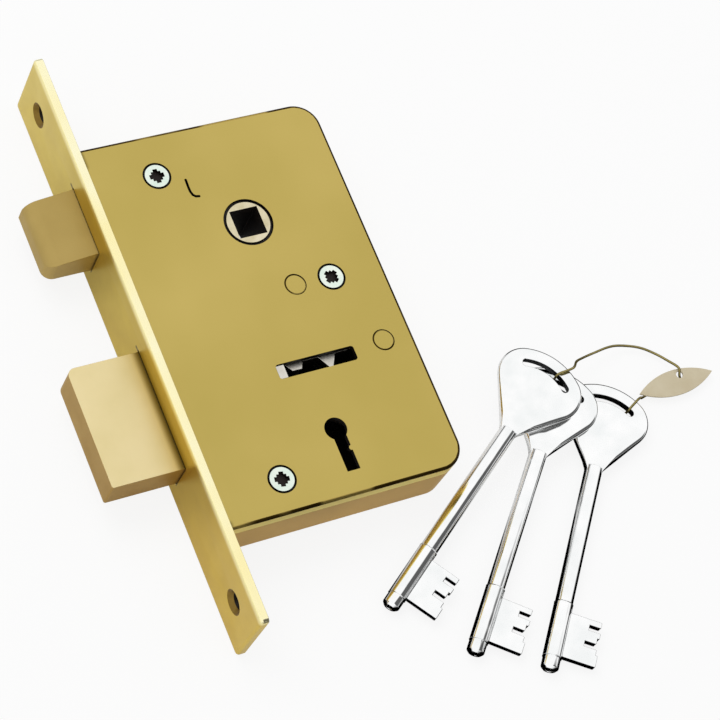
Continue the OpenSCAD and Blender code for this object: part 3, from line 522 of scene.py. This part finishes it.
def dressed_key(number):
    """A key's bow is rounded fully, and the edges of its slot, shaft and bit are only broken."""
    points = [v.co / MM for v in nodes[f"key_{number}"].data.vertices]
    hook = Vector(joints[f"key_{number}_swing"]["pos_m"]) / MM
    tip = max(points, key=lambda p: (p - hook).length)
    far = max(points, key=lambda p: (p - tip).length)
    axis = (far - tip).normalized()
    across = Vector((0, 0, 1)).cross(axis).normalized()
    centre = far - BOW_TOP_R * axis

    def in_slot(point):
        return (point - centre).dot(axis) > BOW_TOP_R / 2 and (point - centre).length < SLOT_REACH

    def key_rounding(middle):
        return JUST_BROKEN if (middle - tip).dot(axis) < SHAFT_REACH or in_slot(middle) else 1.0

    def key_finish(middle, normal):
        # The slot's walls take the black of painted shade.
        return slot_shade_black if in_slot(middle) and abs(normal.z) < 0.6 else nickel_plate

    dressed(f"key_{number}", 1.05, (nickel_plate, slot_shade_black), key_finish, sharp=35,
            segments=6, weight=key_rounding, seam=(centre + SEAM_BESIDE * across, across))


# The forend's seam runs just above the middle, clear of the points on it.
dressed("forend", 0.8, (brass_plate, painted_highlight_edge, painted_shade_steel, countersink_shade_brass), plate_finish, segments=4,
        weight=plate_rounding, seam=(Vector((0, 0, 0.05)), Vector((0, 0, 1))), harden=False)
dressed("case_body", 0.25, (brassed_tray, painted_shade_steel), tray_finish)
dressed("case_cap", 0.15, (brassed_sheet, painted_shade_steel, rim_painted_light, shaded_edge), cap_finish)
dressed("latch_bolt", 0.35, (satin_latch,))
dressed("deadbolt_head", 0.35, (pale_bolt, bolt_side_shade), bolt_finish)
dressed("follower", 0.3, (cast_zinc, painted_shade_steel), follower_finish)
dressed("cap_screws", 0.3, (bright_zinc, painted_shade_steel), screw_finish)
# Each pin's rounded edge takes its own painted shade line.
for pin, open_way in (("lever_pivot", (0.8, 0.6, 0)), ("spring_post", (0.6, -0.8, 0))):
    pin_shade_line = pin_line(pin, open_way)
    dressed(pin, 0.4, (brassed_sheet, pin_shade_line), edge_finish=pin_shade_line)
dressed("deadbolt_stump", 0.25, (bright_lever, painted_shade_steel), lever_finish)
for number in range(1, LEVERS + 1):
    dressed(f"lever_{number}", 0.08, (bright_lever, painted_shade_steel), lever_finish)
for number in (1, 2, 3):
    dressed_key(number)
dressed("key_tag", 0.1, (tag_card,))
dressed("key_ring", 0, (olive_wire,), sharp=60)

# The latch's coil closes up against its fixed end as the latch goes in.
coil = dressed("latch_spring", 0, (spring_steel,), sharp=60)
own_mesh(coil)

# What is hidden in the case keeps its shape as it is.
hidden = {"cap_pillars": mild_steel, "latch_tail": mild_steel, "latch_rod": mild_steel,
          "deadbolt_tail": mild_steel, "deadbolt_rivets": satin_latch}
hidden.update({f"lever_spring_{number}": bronze_strip for number in range(1, LEVERS + 1)})
for node, finish in hidden.items():
    nodes[node].data.materials.clear()
    nodes[node].data.materials.append(finish)

# ---------------------------------------------------------------- table, light and camera
# The lock rests on its case's back and its forend's edge, so the table is tipped to touch both.
table_tip = math.atan2(tray_low.z - plate_low.z, tray_high.x - plate_high.x)
table_foot = Matrix.Translation(Vector((plate_high.x, 0, plate_low.z)) * MM)
floor_mesh = bpy.data.meshes.new("table_top")
bm = bmesh.new()
bmesh.ops.create_grid(bm, x_segments=1, y_segments=1, size=3.0)
bmesh.ops.transform(bm, matrix=table_foot @ Matrix.Rotation(-table_tip, 4, "Y"), verts=bm.verts)
bm.to_mesh(floor_mesh)
bm.free()
floor = bpy.data.objects.new("table_top", floor_mesh)
bpy.context.scene.collection.objects.link(floor)

# What the white table and studio are to the eye, to polished metal and as light.
TABLE_SEEN = 0.87       # share of a full white glow that the eye sees in the table
TABLE_MIRRORED = 0.25   # share that polished metal sees in it
STUDIO_LIGHT = 0.62     # strength of the studio as light
FLAG_DARK = 0.93        # the flag's darkness, where the wall's is 1
WALL_MIRRORED = 0.04    # strength that polished metal sees in the wall

# Matt white table. It is white to the eye but for a soft shadow, and polished metal sees in it a dark
# card laid beside the keys: below the case and well behind it, clear of the forend, with soft edges.
white_top = bpy.data.materials.new("matt_white_table")
white_top.use_nodes = True
tree = white_top.node_tree
table = tree.nodes["Principled BSDF"]
table.inputs["Base Color"].default_value = (0.82, 0.82, 0.82, 1)
table.inputs["Roughness"].default_value = 0.9
table.inputs["Specular IOR Level"].default_value = 0.0
path = add(tree, "ShaderNodeLightPath")
place = add(tree, "ShaderNodeSeparateXYZ", Vector=add(tree, "ShaderNodeTexCoord").outputs["Object"])
behind = add(tree, "ShaderNodeMath", {"operation": "SUBTRACT"}, i0=place.outputs["X"],
             i1=(tray_high.x + 16) * MM)
below = add(tree, "ShaderNodeMath", {"operation": "SUBTRACT"}, i0=tray_low.y * MM, i1=place.outputs["Y"])
outside = add(tree, "ShaderNodeMath", {"operation": "MAXIMUM"}, i0=behind.outputs["Value"],
              i1=below.outputs["Value"])
clear_of_case = add(tree, "ShaderNodeMapRange", Value=outside.outputs["Value"], i1=8 * MM, i2=16 * MM)
clear_of_forend = add(tree, "ShaderNodeMapRange", Value=place.outputs["X"], i1=12 * MM, i2=26 * MM)
dark_card = add(tree, "ShaderNodeMath", {"operation": "MULTIPLY"}, i0=clear_of_case.outputs["Result"],
                i1=clear_of_forend.outputs["Result"])
card_seen = add(tree, "ShaderNodeMath", {"operation": "MULTIPLY"}, i0=dark_card.outputs["Value"],
                i1=path.outputs["Is Glossy Ray"])
seen = add(tree, "ShaderNodeMath", {"operation": "MULTIPLY"}, i0=path.outputs["Is Camera Ray"],
           i1=TABLE_SEEN)
lit = add(tree, "ShaderNodeMath", {"operation": "MULTIPLY_ADD"}, i0=path.outputs["Is Glossy Ray"],
          i1=TABLE_MIRRORED, i2=seen.outputs["Value"])
glow = add(tree, "ShaderNodeEmission", Color=(1, 1, 1, 1), Strength=1.0)
black = add(tree, "ShaderNodeEmission", Color=(0, 0, 0, 1), Strength=0.0)
surface = add(tree, "ShaderNodeMixShader", Fac=lit.outputs["Value"], i1=table.outputs["BSDF"],
              i2=glow.outputs["Emission"])
surface = add(tree, "ShaderNodeMixShader", Fac=card_seen.outputs["Value"], i1=surface.outputs["Shader"],
              i2=black.outputs["Emission"])
tree.links.new(surface.outputs["Shader"], tree.nodes["Material Output"].inputs["Surface"])
floor_mesh.materials.append(white_top)

# White studio. Polished metal also sees a dark wall low down on every side but the left, and a grey flag
# over the near right corner of the table. They draw its rounded edges and its lower sides.
world = bpy.data.worlds.new("white_studio")
bpy.context.scene.world = world
world.use_nodes = True
tree = world.node_tree
path = add(tree, "ShaderNodeLightPath")
way = add(tree, "ShaderNodeTexCoord").outputs["Generated"]
way_parts = add(tree, "ShaderNodeSeparateXYZ", Vector=way)
low_down = add(tree, "ShaderNodeMapRange", Value=way_parts.outputs["Z"], i1=0.08, i2=0.32, i3=1.0,
               i4=0.0)
not_left = add(tree, "ShaderNodeMapRange", Value=way_parts.outputs["X"], i1=-0.55, i2=-0.15)
wall = add(tree, "ShaderNodeMath", {"operation": "MULTIPLY"}, i0=low_down.outputs["Result"],
           i1=not_left.outputs["Result"])
flag_way = Vector((0.5, -0.6, 0.66)).normalized()
flag_edge, flag_full = (math.cos(math.radians(degrees)) for degrees in (33, 26))
toward_flag = add(tree, "ShaderNodeVectorMath", {"operation": "DOT_PRODUCT"}, i0=way, i1=flag_way)
flag = add(tree, "ShaderNodeMapRange", Value=toward_flag.outputs["Value"], i1=flag_edge, i2=flag_full,
           i4=FLAG_DARK)
dark = add(tree, "ShaderNodeMath", {"operation": "MAXIMUM"}, i0=wall.outputs["Value"],
           i1=flag.outputs["Result"])
mirror_light = add(tree, "ShaderNodeMapRange", Value=dark.outputs["Value"], i3=1.0, i4=WALL_MIRRORED)
white = add(tree, "ShaderNodeBackground", Color=(1, 1, 1, 1), Strength=1.0)
soft = add(tree, "ShaderNodeBackground", Color=(1, 1, 1, 1), Strength=STUDIO_LIGHT)
mirrored = add(tree, "ShaderNodeBackground", Color=(1, 1, 1, 1), Strength=mirror_light.outputs["Result"])
sky = add(tree, "ShaderNodeMixShader", Fac=path.outputs["Is Glossy Ray"], i1=soft.outputs["Background"],
          i2=mirrored.outputs["Background"])
sky = add(tree, "ShaderNodeMixShader", Fac=path.outputs["Is Camera Ray"], i1=sky.outputs["Shader"],
          i2=white.outputs["Background"])
tree.links.new(sky.outputs["Shader"], tree.nodes["World Output"].inputs["Surface"])

# A soft lamp lights the matt pieces and draws the shadow, while the metals mirror the studio instead.
lamp = bpy.data.lights.new("overhead_softbox", "AREA")
lamp.shape = "RECTANGLE"
lamp.size, lamp.size_y, lamp.energy = 0.9, 0.7, 6.0
lamp_object = bpy.data.objects.new("overhead_softbox", lamp)
lamp_place = Vector((-0.25, 0.55, 0.95))
lamp_object.location = lamp_place
lamp_aim = (cad_box[0] + cad_box[1]) / 2 - lamp_place
lamp_object.rotation_euler = lamp_aim.to_track_quat("-Z", "Y").to_euler()
lamp_object.visible_glossy = False
bpy.context.scene.collection.objects.link(lamp_object)

camera = bpy.data.cameras.new("camera")
camera.sensor_width = 36
camera.lens = 136.68
camera.clip_end = 20
camera_object = bpy.data.objects.new("camera", camera)
camera_place = Vector((-0.247182, -0.237479, 0.616270))
right = Vector((0.876338, -0.375619, 0.301565))
down = Vector((-0.228820, -0.875517, -0.425572))
ahead = Vector((0.423878, 0.303941, -0.853198))
turn = Matrix((right, -down, -ahead)).transposed().to_4x4()
camera_object.matrix_world = Matrix.Translation(camera_place) @ turn
bpy.context.scene.collection.objects.link(camera_object)
bpy.context.scene.camera = camera_object
bpy.context.scene.view_settings.view_transform = "Standard"
